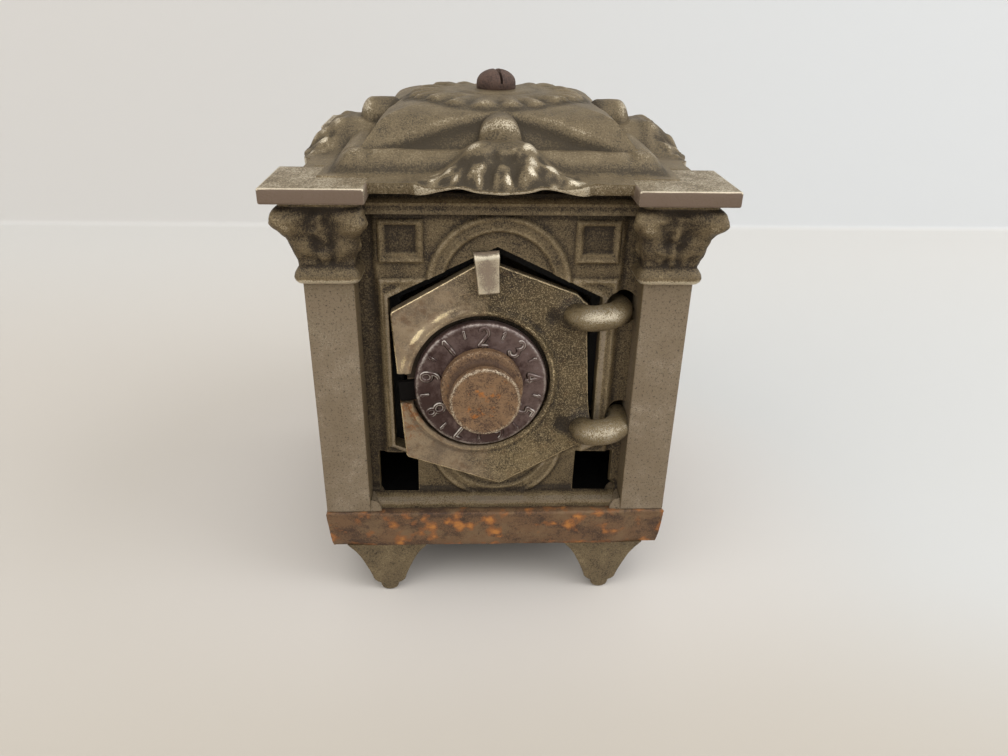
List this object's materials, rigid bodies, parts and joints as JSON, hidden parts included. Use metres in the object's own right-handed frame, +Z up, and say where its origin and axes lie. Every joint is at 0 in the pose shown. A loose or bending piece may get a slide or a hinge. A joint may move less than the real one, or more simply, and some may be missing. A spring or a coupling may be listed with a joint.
{
  "type": "safe coin bank",
  "caption": "Cast safe-shaped coin bank with leafy corner capitals, coved roof, hinged six-sided door, numbered dial and bolt.",
  "frame": {"origin": "centre of the floor face under the feet", "axes": "+Z up, front with the door towards -Y, +X to the right seen from the front"},
  "size_m": [0.0892, 0.0922, 0.1161],
  "materials": {
    "casting": "worn nickel over olive-brown patina",
    "slab": "rusty",
    "door": "worn nickel",
    "dial": "worn plated",
    "knob": "rusty",
    "steel": "dull",
    "brass": "dull",
    "bolt": "dark",
    "rust": "dark rust"
  },
  "bodies": {
    "safe_body": {"roof": "casting", "roof_screw": "rust", "screw_nut": "rust", "nut_washer": "rust", "front_wall": "casting", "back_wall": "casting", "left_wall": "casting", "right_wall": "casting", "base_slab": "slab", "foot_plate": "casting"},
    "door_leaf": {"door": "door", "bolt_guides": "steel", "guide_rivets": "steel"},
    "dial_set": {"dial": "dial", "knob": "knob", "spindle": "steel", "knob_pin": "steel", "spring_washer": "steel", "driver_wheel": "brass", "driver_pin": "steel", "wheel_washers": "steel", "spindle_nut": "steel"},
    "tumbler": {"tumbler_wheel": "brass", "tumbler_pin": "steel"},
    "bolt_set": {"lock_bolt": "bolt", "bolt_fence": "bolt"}
  },
  "joints": [
    {"name": "door_hinge", "type": "hinge", "parent": "safe_body", "child": "door_leaf", "pos_m": [0.02129, -0.03118, 0.05779], "axis": [-0.0681, 0.0682, 0.9953], "range_deg": [0, 85]},
    {"name": "dial_turn", "type": "hinge", "parent": "door_leaf", "child": "dial_set", "pos_m": [-0.00375, -0.03442, 0.0557], "axis": [0.0748, -0.9945, 0.0732], "continuous": true},
    {"name": "tumbler_turn", "type": "hinge", "parent": "door_leaf", "child": "tumbler", "pos_m": [-0.00375, -0.03442, 0.0557], "axis": [0.0748, -0.9945, 0.0732], "continuous": true},
    {"name": "bolt_throw", "type": "slide", "parent": "door_leaf", "child": "bolt_set", "axis": [-0.9949, -0.0794, -0.0626], "range_m": [0, 0.003]}
  ],
  "couplings": [
    {"joint": "tumbler_turn", "follows": "dial_turn", "ratio": 1}
  ]
}
